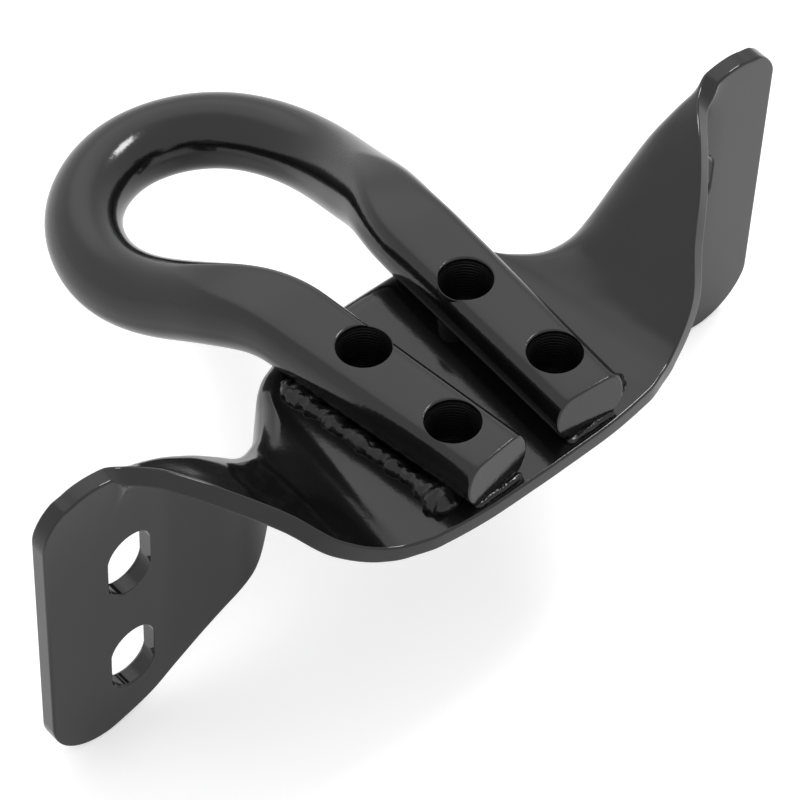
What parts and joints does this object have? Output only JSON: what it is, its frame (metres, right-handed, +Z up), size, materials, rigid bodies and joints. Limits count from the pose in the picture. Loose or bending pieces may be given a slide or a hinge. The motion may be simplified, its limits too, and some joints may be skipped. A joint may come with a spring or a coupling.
{
  "type": "recovery tow hook",
  "caption": "Bolt-on recovery tow hook: a bent round-bar loop with flattened drilled legs, welded to a stamped bracket with slotted flanges",
  "frame": {"origin": "on the plane of the two flanges' vehicle faces, midway between the four slots", "axes": "+Z up along the flanges, +X out of the flanges' vehicle faces towards the vehicle, +Y along the bracket; the loop reaches towards -X"},
  "size_m": [0.1819, 0.248, 0.1057],
  "materials": {
    "black_coat": "gloss black powder coat"
  },
  "bodies": {
    "root": {"mounting_bracket": "black_coat", "hook_bar": "black_coat", "weld_side_left": "black_coat", "weld_side_right": "black_coat", "weld_end_left": "black_coat", "weld_end_right": "black_coat"}
  },
  "joints": []
}
